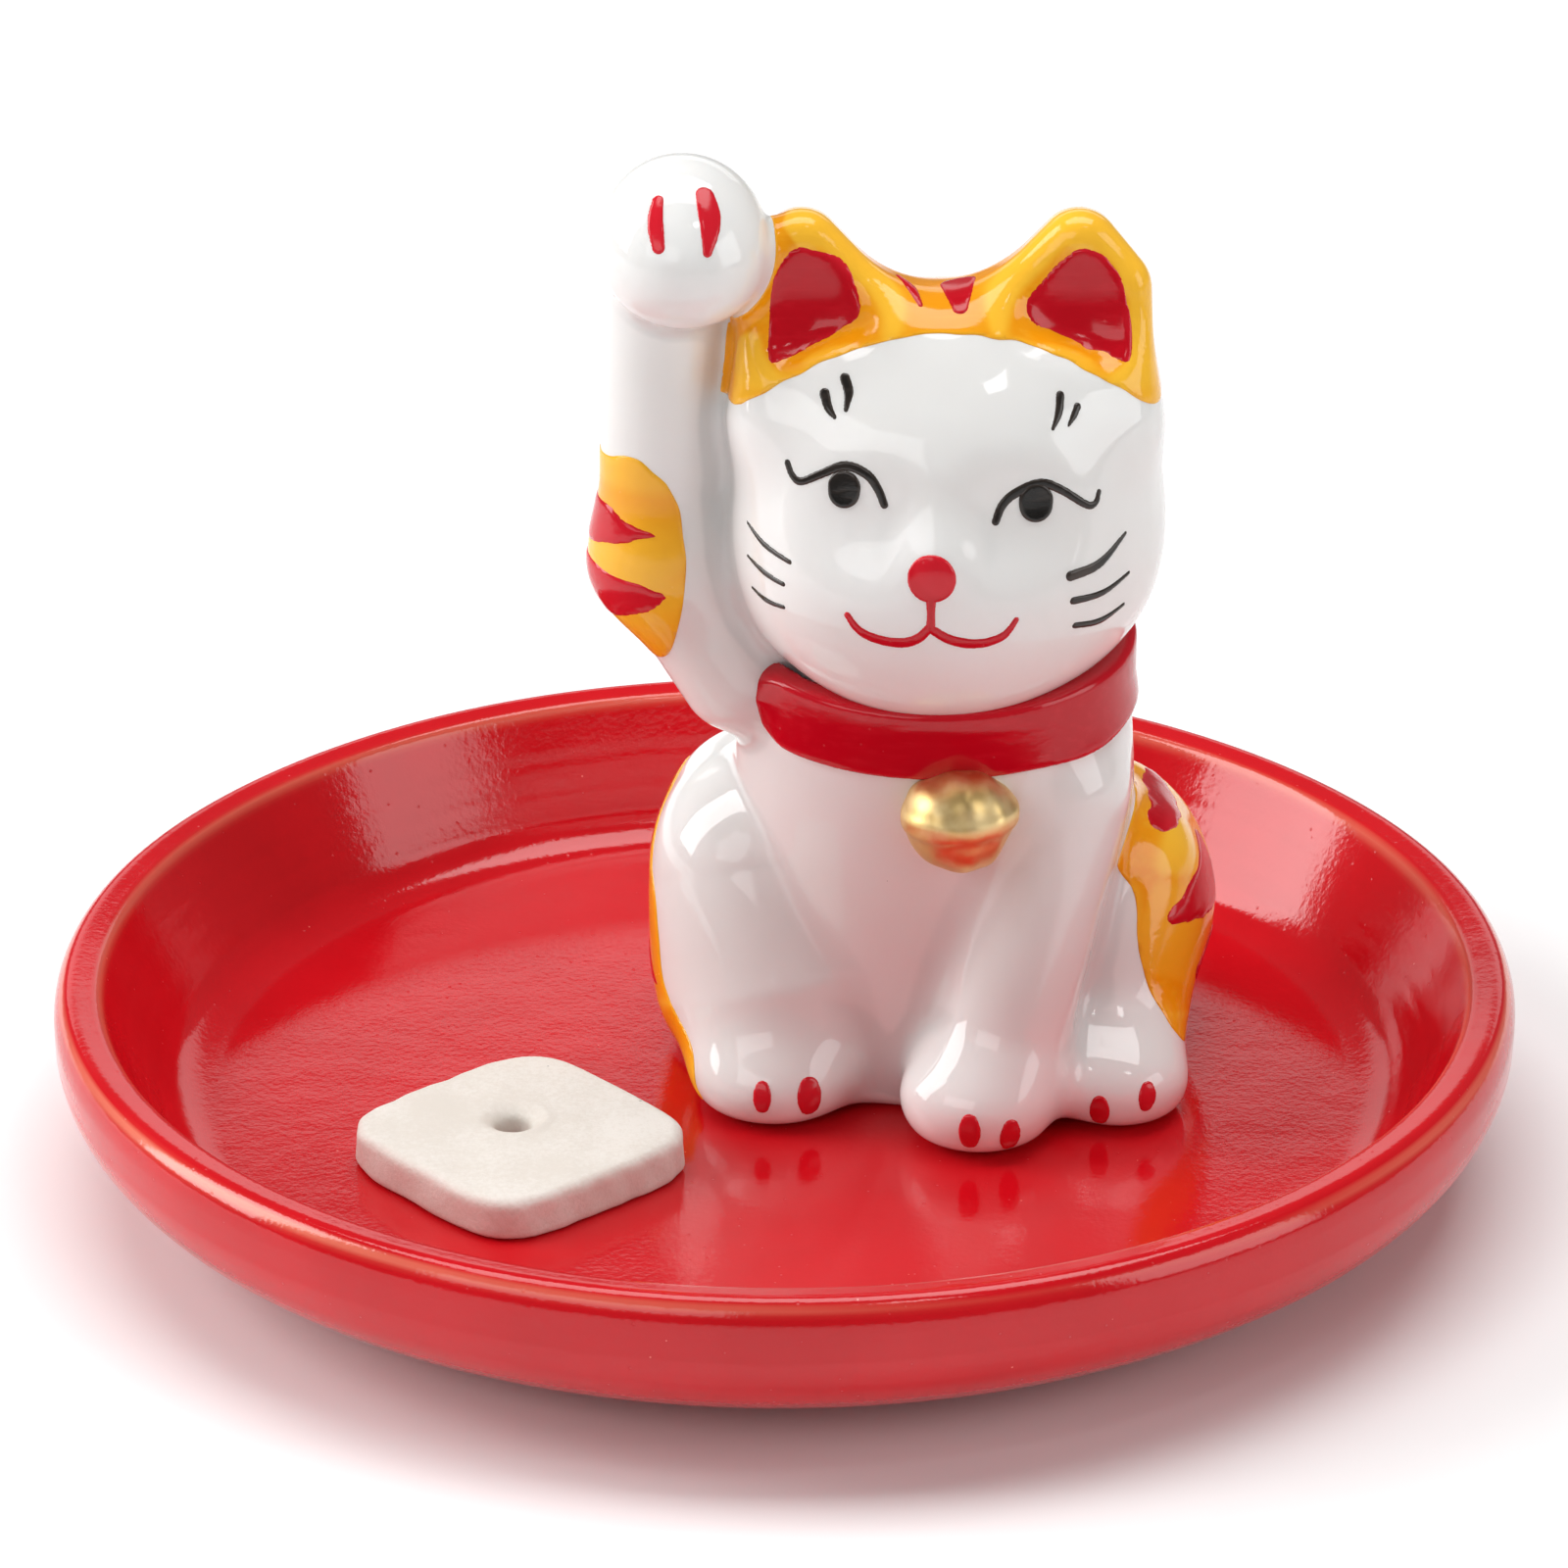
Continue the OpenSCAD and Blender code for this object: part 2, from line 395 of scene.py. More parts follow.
def brush_streaks():
    tree, start, end = effect("Brush streaks", [("Along", 120), ("Across", 1400)], ["Mask"])
    place = put(tree, "ShaderNodeTexCoord")
    stretch = put(tree, "ShaderNodeCombineXYZ")
    wire(tree, start, "Along", stretch, "X")
    wire(tree, start, "Across", stretch, "Y")
    wire(tree, start, "Across", stretch, "Z")
    scaled = put(tree, "ShaderNodeVectorMath", operation="MULTIPLY")
    wire(tree, place, "Object", scaled, 0)
    wire(tree, stretch, "Vector", scaled, 1)
    hairs = put(tree, "ShaderNodeTexNoise", Scale=1.0, Detail=3.0, Roughness=0.55)
    wire(tree, scaled, "Vector", hairs, "Vector")
    feed(tree, between(tree, (hairs, "Fac"), 0.45, 0.7), end, "Mask")
    return tree


def fine_scratches():
    tree, start, end = effect("Fine scratches", [("Amount", 1)], ["Mask"])
    place = put(tree, "ShaderNodeTexCoord")
    warp = textured(tree, "ShaderNodeTexNoise", Scale=40.0, Detail=1.0)
    total = None
    for turn, scale in ((0.6, 260.0), (2.1, 330.0), (-0.5, 300.0)):
        turned = put(tree, "ShaderNodeMapping", Rotation=(0.3, 0.2, turn))
        turned.inputs["Scale"].default_value = (scale, 6.0, scale)
        wire(tree, place, "Object", turned, "Vector")
        line = put(tree, "ShaderNodeTexNoise", Scale=1.0, Detail=0.0)
        wire(tree, turned, "Vector", line, "Vector")
        thin = sums(tree, "ABSOLUTE", sums(tree, "SUBTRACT", (line, "Fac"), 0.5), 0.0)
        mark = between(tree, thin, 0.0, 0.006, 1.0, 0.0)
        total = mark if total is None else sums(tree, "MAXIMUM", total, mark)
    patchy = between(tree, (warp, "Fac"), 0.52, 0.6)
    feed(tree, product(tree, total, patchy, (start, "Amount")), end, "Mask")
    return tree


GLAZE = glaze_surface()
SPECKS = iron_specks()
STREAKS = brush_streaks()
SCRATCHES = fine_scratches()


def use(tree, group, **values):
    node = tree.nodes.new("ShaderNodeGroup")
    node.node_tree = group
    for key, value in values.items():
        node.inputs[key.replace("_", " ")].default_value = value
    return node


def finish_named(name, **values):
    """A material with its Principled shader set; gives the material, its tree and the shader."""
    material = bpy.data.materials.new(name)
    material.use_nodes = True
    tree = material.node_tree
    shader = tree.nodes["Principled BSDF"]
    for key, value in values.items():
        shader.inputs[key.replace("_", " ")].default_value = value
    return material, tree, shader


def emboss(tree, height, shader, distance):
    """Turns a height between 0 and 1 into bump; distance is the real depth in metres."""
    bump = put(tree, "ShaderNodeBump", Distance=distance, Strength=1.0)
    feed(tree, height, bump, "Height")
    wire(tree, bump, "Normal", shader, "Normal")


def kept(tree, name):
    """A number stored on the mesh with store()."""
    node = put(tree, "ShaderNodeAttribute", attribute_name=name)
    return (node, "Fac")


# %% [markdown]
# ** Porcelain.** The white turns a darker grey in the creases: partly a tint where the clear
# glaze pools there, partly painted shade. Light enters and comes out again nearby, so the
# white has some depth.

# %% Porcelain
def make_porcelain():
    material, tree, shader = finish_named("white porcelain", Roughness=0.05, IOR=1.5,
                                          Subsurface_Weight=0.12, Subsurface_Scale=0.002)
    shader.inputs["Subsurface Radius"].default_value = (1.0, 0.85, 0.75)
    cloud = textured(tree, "ShaderNodeTexNoise", Scale=60.0, Detail=2.0)
    patchy = between(tree, (cloud, "Fac"), 0.35, 0.65)
    white = blend_colour(tree, patchy, (0.83, 0.82, 0.80), (0.86, 0.855, 0.84))
    # Creases are painted a darker grey: a little of it is pooled glaze, most of it painted shade
    crease_glaze_and_shade = between(tree, kept(tree, "bend"), -0.02, -0.30, 0.0, 1.0)
    white = blend_colour(tree, crease_glaze_and_shade, white, (0.74, 0.745, 0.73))
    dots = use(tree, SPECKS, Spacing=150, Size=0.014, Share=0.30)
    colour = blend_colour(tree, (dots, "Mask"), white, (0.07, 0.045, 0.03))
    feed(tree, colour, shader, "Base Color")
    glass = use(tree, GLAZE, Ripple=0.5, Tooth=0.12, Pinholes=0.3)
    emboss(tree, (glass, "Height"), shader, 0.00002)
    feed(tree, between(tree, (glass, "Gloss loss"), 0, 1, 0.05, 0.3), shader, "Roughness")
    return material


PORCELAIN = make_porcelain()

# %% [markdown]
# **Red glaze.** The dish is dipped in a thick red glaze. It is deep red where it lies thick
# and turns orange and thin over the sharp edge of the rim. Its surface has a fine tooth, so
# reflections end in a frayed line, and it carries pale specks and pinholes.

# %% Red glaze
def make_red_glaze():
    material, tree, shader = finish_named("red glaze", Roughness=0.13, IOR=1.5)
    cloud = textured(tree, "ShaderNodeTexNoise", Scale=90.0, Detail=3.0)
    patchy = between(tree, (cloud, "Fac"), 0.3, 0.7)
    red = blend_colour(tree, patchy, (0.56, 0.003, 0.008), (0.61, 0.004, 0.010))
    thin = kept(tree, "thin")
    red = blend_colour(tree, thin, red, (0.80, 0.24, 0.15))
    pale = use(tree, SPECKS, Spacing=420, Size=0.035, Share=0.36)
    red = blend_colour(tree, (pale, "Mask"), red, (0.80, 0.16, 0.13))
    feed(tree, red, shader, "Base Color")
    glass = use(tree, GLAZE, Ripple=0.5, Tooth=6.0, Pinholes=1.0)
    emboss(tree, (glass, "Height"), shader, 0.00006)
    feed(tree, between(tree, (glass, "Gloss loss"), 0, 1, 0.11, 0.34), shader, "Roughness")
    return material


RED_GLAZE = make_red_glaze()

# %% [markdown]
# ** Bare clay.** The foot ring and the tile are not glazed. Fired clay is matte and slightly
# gritty, with darker grains in it.

# %% Bare clay and the tile's bisque
def make_clay(name, light, dark, grit):
    material, tree, shader = finish_named(name, Roughness=0.85, IOR=1.45)
    grain = textured(tree, "ShaderNodeTexNoise", Scale=2200.0, Detail=4.0, Roughness=0.7)
    cloud = textured(tree, "ShaderNodeTexNoise", Scale=120.0, Detail=2.0)
    tone = product(tree, (grain, "Fac"), (cloud, "Fac"))
    colour = blend_colour(tree, between(tree, tone, 0.15, 0.38), dark, light)
    dots = use(tree, SPECKS, Spacing=500, Size=0.06, Share=0.25)
    speck = tuple(0.62 * c for c in dark)
    colour = blend_colour(tree, (dots, "Mask"), colour, speck)
    feed(tree, colour, shader, "Base Color")
    emboss(tree, (grain, "Fac"), shader, grit)
    feed(tree, between(tree, (cloud, "Fac"), 0.3, 0.7, 0.72, 0.92), shader, "Roughness")
    return material


BISQUE = make_clay("matte bisque", (0.78, 0.745, 0.69), (0.71, 0.665, 0.60), 0.00006)
FOOT_CLAY = make_clay("bare foot clay", (0.70, 0.60, 0.48), (0.58, 0.48, 0.37), 0.0001)

# %% [markdown]
# **Enamels.** The colours are painted over the fired glaze and fired again, so they stand up
# from it a little and have a gloss of their own. The amber is thin on ridges and deep in
# hollows. The red shows the hairs of the brush, and the black lines go brown at their edges.

# %% Enamels and lustre
def make_enamel(name, deep, thin, streak_share, gloss):
    material, tree, shader = finish_named(name, Roughness=gloss, IOR=1.5, Specular_IOR_Level=0.4)
    hairs = use(tree, STREAKS)
    ridge = between(tree, kept(tree, "bend"), 0.02, 0.28)
    worn = sums(tree, "MAXIMUM", ridge, product(tree, (hairs, "Mask"), streak_share))
    edge = between(tree, kept(tree, "edge"), 0.0, 0.35, 0.55, 0.0)
    worn = sums(tree, "MAXIMUM", worn, edge)
    colour = blend_colour(tree, worn, deep, thin)
    feed(tree, colour, shader, "Base Color")
    glass = use(tree, GLAZE, Ripple=0.6, Tooth=0.8, Pinholes=0.8)
    height = sums(tree, "SUBTRACT", (glass, "Height"), product(tree, (hairs, "Mask"), 0.08))
    emboss(tree, height, shader, 0.00005)
    feed(tree, between(tree, (glass, "Gloss loss"), 0, 1, gloss, 0.4), shader, "Roughness")
    return material


AMBER = make_enamel("amber enamel", (0.90, 0.33, 0.004), (0.98, 0.52, 0.035), 0.20, 0.09)
RED = make_enamel("red enamel", (0.52, 0.001, 0.010), (0.64, 0.012, 0.025), 0.30, 0.12)
BLACK = make_enamel("black enamel", (0.012, 0.011, 0.010), (0.07, 0.05, 0.04), 0.30, 0.10)


def make_lustre():
    material, tree, shader = finish_named("gold lustre", Metallic=1.0, Roughness=0.42)
    cloud = textured(tree, "ShaderNodeTexNoise", Scale=420.0, Detail=3.0)
    patchy = between(tree, (cloud, "Fac"), 0.35, 0.7)
    colour = blend_colour(tree, patchy, (0.80, 0.56, 0.22), (0.90, 0.70, 0.36))
    marks = use(tree, SCRATCHES, Amount=1.0)
    colour = blend_colour(tree, (marks, "Mask"), colour, (0.30, 0.17, 0.06))
    feed(tree, colour, shader, "Base Color")
    glass = use(tree, GLAZE, Ripple=0.12, Tooth=1.0, Pinholes=0.6)
    emboss(tree, (glass, "Height"), shader, 0.00006)
    feed(tree, between(tree, (cloud, "Fac"), 0.3, 0.7, 0.38, 0.50), shader, "Roughness")
    return material


GOLD = make_lustre()
print("finishes:", ", ".join(material.name for material in bpy.data.materials))

# %% [markdown]
# ## The dish
#
# A dish is thrown on a wheel, so its section is drawn once and turned. The thrower's fingers
# leave faint rings on the wall, and the rim wanders a little from a true circle. The rim is
# a flat roll: an outer crest, a narrow top, and an inner lip. Below the lip the inner wall is
# straight and leans outwards, so that lights show in it as sharp-edged patches.

# %% Turn the dish
def ellipse_arc(centre_r, centre_z, rr, rz, start, end, count):
    angle = np.radians(np.linspace(start, end, count))
    return np.stack([centre_r + rr * np.cos(angle), centre_z + rz * np.sin(angle)], -1)


FOOT_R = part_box("foot_ring")[1].x / MM
FOOT_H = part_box("foot_ring")[1].z / MM
FOOT_WIDTH = 3.2
WIDEST_Z = RIM_TOP - 4.1
CREST_R = DISH_R - 1.3
LIP_R = DISH_R - 4.3
# The wall leans 30 degrees from upright and meets the floor in a curve of 5.2 mm
FLOOR_R = DISH_R - 13.2
CURVE_R = 5.2
WALL_LEAN = 30
SIDES = 420
ANGLE = np.linspace(0, 2 * math.pi, SIDES, endpoint=False)


def resample(section, step):
    gaps = np.hypot(*np.diff(section, axis=0).T)
    run = np.concatenate([[0], np.cumsum(gaps)])
    at = np.linspace(0, run[-1], int(run[-1] / step) + 1)
    return np.stack([np.interp(at, run, section[:, i]) for i in (0, 1)], -1)


def turn(radii, heights, closed=False):
    """Turns rows of radii and heights about the axis; a closed section joins up its ends."""
    points = np.stack([radii * np.cos(ANGLE), radii * np.sin(ANGLE), heights + 0 * ANGLE], -1)
    faces = []
    for i in range(len(radii) - (0 if closed else 1)):
        n = (i + 1) % len(radii)
        for j in range(SIDES):
            k = (j + 1) % SIDES
            faces.append((i * SIDES + j, i * SIDES + k, n * SIDES + k, n * SIDES + j))
    return points.reshape(-1, 3), faces


def thrown(section, wobble, rings):
    """Turns a section that starts and ends on the axis, with finger rings and a wandering rim."""
    rows = resample(section, 0.35)[1:-1]
    way = np.gradient(rows, axis=0)
    way /= length(way)[:, None]
    outward = np.stack([way[:, 1], -way[:, 0]], -1)
    on_wall = np.clip((rows[:, 0] - FLOOR_R) / 3, 0, 1) * np.clip((RIM_TOP - 1.5 - rows[:, 1]) / 2, 0, 1)
    groove = np.sin(rows[:, 1] * 2.9) + 0.6 * np.sin(rows[:, 1] * 5.3 + 1)
    rows = rows + outward * (rings * on_wall * groove)[:, None]
    sway = wobble * (np.sin(2 * ANGLE + 0.6) + 0.6 * np.sin(3 * ANGLE + 2) + 0.4 * np.sin(7 * ANGLE))
    grow = rows[:, 0:1] + sway * (rows[:, 0:1] / DISH_R) ** 3
    lift = rows[:, 1:2] + 0.6 * sway * np.clip((rows[:, 1:2] - FLOOR) / 8, 0, 1)
    points, faces = turn(grow, lift)
    first = len(points)
    points = np.concatenate([points, [(0, 0, section[0][1]), (0, 0, section[-1][1])]])
    last = (len(rows) - 1) * SIDES
    for j in range(SIDES):
        k = (j + 1) % SIDES
        faces.append((first, k, j))
        faces.append((first + 1, last + j, last + k))
    return points, faces


outside = ellipse_arc(FOOT_R, WIDEST_Z, DISH_R - FOOT_R - 0.3, WIDEST_Z - FOOT_H, -90, -4, 40)
crest = ellipse_arc(CREST_R - 0.7, WIDEST_Z + 1.1, 1.75, RIM_TOP - WIDEST_Z - 1.15, 8, 92, 12)
lip = ellipse_arc(LIP_R + 0.8, RIM_TOP - 1.25, 0.8, 1.0, 84, 180 - WALL_LEAN, 8)
bowl = ellipse_arc(FLOOR_R, FLOOR + CURVE_R, CURVE_R, CURVE_R, -WALL_LEAN, -90, 22)
section = np.concatenate([[(0, FOOT_H)], outside, crest, lip, bowl, [(0, FLOOR)]])
dish_points, dish_faces = thrown(section, wobble=0.10, rings=0.010)
dish = make_piece("red_dish", dish_points, dish_faces, RED_GLAZE, "dish", ["dish_bowl"])
radius = np.hypot(dish_points[:, 0], dish_points[:, 1])
near_top = np.exp(-(((dish_points[:, 2] - RIM_TOP + 0.45) / 0.4) ** 2))
on_crest = near_top * np.clip((radius - CREST_R - 0.1) / 0.4, 0, 1)
on_lip = 0.5 * np.exp(-(((radius - LIP_R - 0.2) / 0.25) ** 2)) * (dish_points[:, 2] > RIM_TOP - 1.6)
store(dish, "thin", np.clip(on_crest + on_lip, 0, 1))

# %% [markdown]
# The foot ring is where the glaze is wiped off before firing, so that the dish doesn't stick
# to the kiln shelf. Its edges are softened with a sponge.

# %% Turn the foot ring
corner = 0.5
ring_section = np.concatenate([
    ellipse_arc(FOOT_R - FOOT_WIDTH + corner, corner, corner, corner, 180, 270, 5),
    ellipse_arc(FOOT_R - corner, corner, corner, corner, 270, 360, 5),
    [(FOOT_R, FOOT_H + 0.1), (FOOT_R - FOOT_WIDTH, FOOT_H + 0.1)],
])
ring_points, ring_faces = turn(ring_section[:, 0:1], ring_section[:, 1:2], closed=True)
make_piece("bare_foot_ring", ring_points, ring_faces, FOOT_CLAY, "dish", ["foot_ring"])

# %% [markdown]
# ## The incense tile
#
# A slab of clay cut to a rounded square. Its edges were rubbed soft with a wet finger, and
# the tool that made the hole pushed up a slight burr round the mouth.

# %% Make the tile
TILE_AT = np.array([(tile_low.x + tile_high.x) / 2, (tile_low.y + tile_high.y) / 2, tile_low.z]) / MM
TILE_T = (tile_high.z - tile_low.z) / MM
TILE_SIDE = 22.0
SQUARENESS = 4.6
TILE_TURN = math.radians(41.5)
HOLE_R = 1.45
HOLE_AT = (0.42, 1.37)
FLARE = 1.05


def tile_field(p):
    x, y, z = p[..., 0], p[..., 1], p[..., 2]
    size = (np.abs(x) ** SQUARENESS + np.abs(y) ** SQUARENESS) ** (1 / SQUARENESS)
    side = (size - TILE_SIDE / 2) * 1.05
    side = side + 0.08 * np.sin(1.7 * x + 0.9 * y) * np.sin(1.1 * z + 0.5 * x)
    top = z - TILE_T + 0.05 * np.sin(x * 0.9) * np.sin(y * 0.7 + 1)
    slab = carve(carve(side, top, 1.0), -z, 0.7)
    from_hole = np.hypot(x - HOLE_AT[0], y - HOLE_AT[1])
    funnel = HOLE_R + FLARE * np.clip((z - TILE_T + 1.1) / 1.1, 0, 1) ** 2
    burr = np.exp(-(((from_hole - HOLE_R - FLARE - 0.3) / 0.5) ** 2)) * np.clip(0.5 + 0.3 * (x - y), 0, 1)
    slab = slab - 0.16 * burr * (z > TILE_T - 1.5)
    return carve(slab, funnel + 0.05 * np.sin(3 * z) - from_hole, 0.5)


tile_points, tile_faces = skin(tile_field, (-12, -12, -0.6), (12, 12, TILE_T + 1),
                               0.3)
cos_t, sin_t = math.cos(TILE_TURN), math.sin(TILE_TURN)
spin = np.array([(cos_t, sin_t, 0), (-sin_t, cos_t, 0), (0, 0, 1)])
make_piece("bisque_incense_tile", tile_points @ spin, tile_faces.tolist(), BISQUE, "tile",
           ["incense_tile"], TILE_AT)

# %% [markdown]
# ## The cat's body
#
# The casting is one skin. Its coordinates have their origin on the dish floor under the cat:
# x to the cat's left, y to the back, z up. In every name, left and right are the cat's own.
# The forms are the ones a mould maker would carve: a pear-shaped trunk, two haunches, a
# straight foreleg, paws, a broad head and two ears.

# %% Forms of the cat
def trunk(p, top=37.0):
    x, y, z = p[..., 0], p[..., 1], p[..., 2]
    t = np.clip(z / 36, 0, 1)
    wide = 15.0 + 3.6 * t - 2.9 * t**3
    deep = 13.6 - 0.8 * t
    round_it = np.hypot((x + 0.4) / wide, (y - 1.2 + 4.2 * t) / deep)
    return carve((round_it - 1) * np.minimum(wide, deep), z - top, 5)


def shoulder_and_arm(p):
    upper = limb(p, (-16.4, -4.8, 36.4), (-22.8, -5, 46.6), 5.0, 4.8)
    fore = limb(p, (-22.8, -5, 46.6), (-22.6, -4.6, 70), 4.9, 4.8)
    arm = join(upper, fore, 4)
    paw = egg(p, (-20.9, -6.4, 74.7), (6.7, 6.8, 6.6))
    paw = join(paw, egg(p, (-20.5, -9.4, 73.4), (5.6, 5.0, 4.5)), 3)
    return join(arm, paw, 1.3)


FRONT_PAW = (3.2, -16.4, 3.6)
HIND_PAWS = ((-13.6, -10.8, 2.8), (14.8, -11.4, 2.8))


def left_haunch(p):
    thigh = limb(p, (15.6, -1.0, 17), (14.2, -4.6, 6.5), 5.0, 6.6)
    return join(egg(p, (12.0, 5.2, 11.6), (11.4, 13.0, 12.2)), thigh, 4)


def right_haunch(p):
    thigh = limb(p, (-15.2, -2.4, 18.5), (-13.0, -5.6, 9.0), 5.2, 7.6)
    return join(cushion(p, (-12.4, 4.2, 11.6), (11.4, 13.0, 14.6), 2.6), thigh, 8)


def body(p, top=37.0):
    form = join(trunk(p, top), egg(p, (0, 5.5, 12), (15, 14.2, 15)), 5)
    form = join(join(form, left_haunch(p), 2.2), right_haunch(p), 2.0)
    form = join(form, limb(p, (9.9, -8.6, 27.0), (5.1, -14.6, 7.0), 5.0, 5.3), 3.2)
    form = join(form, egg(p, FRONT_PAW, (6.5, 6.2, 4.8)), 2.6)
    form = join(form, egg(p, HIND_PAWS[0], (6.6, 6.2, 4.3)), 4.4)
    form = join(form, egg(p, HIND_PAWS[1], (5.8, 5.8, 4.3)), 4.0)
    root = limb(p, (3.5, 17.0, 5.0), (0.5, 19.5, 8.5), 4.0, 3.6)
    tip = limb(p, (0.5, 19.5, 8.5), (-2.5, 19.0, 13.0), 3.6, 3.0)
    return join(form, join(root, tip, 3), 2.6)


EAR_LEAN = math.radians(15)
EAR_FOOT = (-6.4, 66.0)
# Each ear's side, its outline and the outline of its hollow, seen from the front
EARS = (
    (1, ((10.7, 73.2), (13.2, 70.2), (13.5, 60.4), (1.0, 63.5)),
     ((11.0, 72.4), (13.0, 67.6), (8.4, 69.2))),
    (-1, ((11.4, 73.2), (13.2, 71.0), (13.6, 60.4), (2.0, 63.5)),
     ((11.4, 72.4), (12.6, 67.6), (8.4, 69.2))),
)


def wedge(p, side, outline, forward, half, rounding):
    """A rounded slab with an outline seen from the front, leaning back with the ear."""
    back, up = p[..., 1] - EAR_FOOT[0], p[..., 2] - EAR_FOOT[1]
    y = back * math.cos(EAR_LEAN) - up * math.sin(EAR_LEAN) + forward
    z = up * math.cos(EAR_LEAN) + back * math.sin(EAR_LEAN) + EAR_FOOT[1]
    flat = inside_loop(p[..., 0] * side, z, np.array(outline, float))
    out = np.hypot(np.maximum(flat, 0), np.maximum(np.abs(y) - half, 0))
    return out + np.minimum(np.maximum(flat, np.abs(y) - half), 0) - rounding


def head_form(p):
    head = cushion(p, (0.2, -4, 52.0), (17.6, 15.4, 17.1), 2.25)
    head = join(head, cushion(p, (0.1, -4.6, 48.6), (17.2, 14.6, 13.4), 2.1), 2.4)
    head = join(head, egg(p, (-0.9, -14.0, 47.2), (10.5, 5.6, 8.4)), 6)
    head = join(head, egg(p, (-0.9, -18.4, 53.0), (2.3, 2.0, 1.9)), 3.5)
    for side in (-1, 1):
        head = carve(head, -egg(p, (side * 7.6 - 0.6, -22.8, 56.0), (5.5, 3.2, 3.6)), 5)
    for side, outer, _ in EARS:
        head = join(head, wedge(p, side, outer, 0.0, 0.9, 3.2), 5)
    for side, _, hollow in EARS:
        scoop = egg(p, (side * 10.8, -13.2, 71.2), (6.0, 5.4, 7.4))
        scoop = carve(wedge(p, side, hollow, 6, 6, 2.4), scoop, 1.4)
        head = carve(head, -scoop, 2.8)
    return head


def cat_field(p):
    form = join(body(p), head_form(p), 1.4)
    web = limb(p, (-17.0, -4.2, 44), (-17.2, -3.8, 66), 2.2, 2.2)
    form = join(form, web, 2)
    form = join(form, shoulder_and_arm(p), 2)
    return carve(form, -p[..., 2], 1.4)


# %% [markdown]
# The casting is hollow: slip is poured into the mould and out again through a hole in the
# base. The hole and the start of the hollow are cut here, where they can be seen from below.

# %% Make the cat's skin
DRAIN_AT = (0.0, 4.0)
DRAIN_R = 2.2


def cast_field(p):
    hollow = egg(p, (DRAIN_AT[0], DRAIN_AT[1], 12), (9, 8, 9.4))
    drain = np.hypot(p[..., 0] - DRAIN_AT[0], p[..., 1] - DRAIN_AT[1]) - DRAIN_R
    opening = join(hollow, carve(drain, p[..., 2] - 6, 0.5), 0.8)
    return carve(cat_field(p), -opening, 0.8)


def bend_of(field, p, reach=1.0):
    """How strongly the surface bends: positive on ridges, negative in creases."""
    around = [field(p + reach * sign * axis) for axis in np.eye(3) for sign in (-1, 1)]
    return sum(around) / reach**2 - 6 * field(p) / reach**2


cat_points, cat_faces = skin(cast_field, (-32, -26, -1.6), (27, 27, 84),
                             0.45)
cat = make_piece("cat_porcelain", cat_points, cat_faces.tolist(), PORCELAIN, "cat",
                 ["torso", "head", "left_ear", "right_ear", "raised_arm", "raised_paw",
                  "lowered_foreleg", "left_hind_paw", "right_hind_paw", "tail"],
                 CAT)
store(cat, "bend", bend_of(cat_field, cat_points))

# %% [markdown]
# ## Collar and bell
#
# The collar is a raised band cast with the neck. It sits a little lower at the front, and its
# end is rounded off where it meets the raised arm. The bell is cast with it too, a squat
# round form with a ridge about its middle, painted with gold lustre.

# %% Collar
COLLAR_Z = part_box("collar")[0].z / MM - FLOOR + 6.4
BAND_HALF = 3.1
DROOP = 0.17
COLLAR_END = -15.7


def collar_field(p):
    x, y, z = p[..., 0], p[..., 1], p[..., 2]
    neck = join(body(p, 46.0), shoulder_and_arm(p), 2)
    band = np.abs(z - COLLAR_Z - DROOP * (y + 3.6)) - BAND_HALF
    band = carve(carve(neck - 0.6, band, 0.7), COLLAR_END - x + 0.2 * np.abs(z - 36), 2.6)
    return carve(band, -(neck + 1.2), 0.3)


collar_points, collar_faces = skin(collar_field, (-19, -19, 28), (20, 15, 42),
                                   0.35)
collar = make_piece("collar_band", collar_points, collar_faces.tolist(), RED, "cat",
                    ["collar"], CAT)
store(collar, "bend", bend_of(collar_field, collar_points, 0.6) * 0.12)
store(collar, "edge", np.full(len(collar_points), 1.0))

# %% Bell
bell_low, bell_high = (np.array(corner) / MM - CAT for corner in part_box("bell"))
BELL_R = (bell_high[2] - bell_low[2]) / 2
BELL_AT = (bell_low + bell_high) / 2 + (0.1, 0.3, 0.0)


def bell_field(p):
    q = p - BELL_AT
    x, y, z = q[..., 0], q[..., 1], q[..., 2]
    rise = np.where(z > 0, BELL_R * 0.74, BELL_R)
    power = np.where(z > 0, 2.1, 2.4)
    around = np.hypot(x, y / 0.92) / (BELL_R - 0.25)
    dome = ((around**power + np.abs(z / rise) ** power) ** (1 / power) - 1) * BELL_R * 0.72
    dent = 0.16 * np.sin(x * 0.9 + 0.8) * np.sin(z * 0.9 + 1) + 0.05 * np.sin(x * 2.3 + y)
    level = z + 0.15 - 0.05 * x
    flange = carve(np.hypot(x, y / 0.92) - BELL_R + 0.3, np.abs(level) - 0.3, 0.5)
    return join(dome + dent, flange, 1.2)


bell_points, bell_faces = skin(bell_field, BELL_AT - 6.2, BELL_AT + 6.2, 0.2)
make_piece("gold_bell", bell_points, bell_faces.tolist(), GOLD, "cat", ["bell"], CAT)

# %% [markdown]
# ## Painted enamel
#
# Each patch or line is its own thin raised piece. A mark is a field that says where the brush
# went. A wide patch is cut out of the cat's skin along the mark's edge, lifted by the
# thickness of the enamel and closed underneath, so its outline stays crisp. Its layer thins
# towards the edge, as liquid colour does.

# %% Painting helpers
# A coat of enamel stands this far out of the skin and reaches this far into it, in millimetres
LAYER = 0.10
SUNK = 0.5


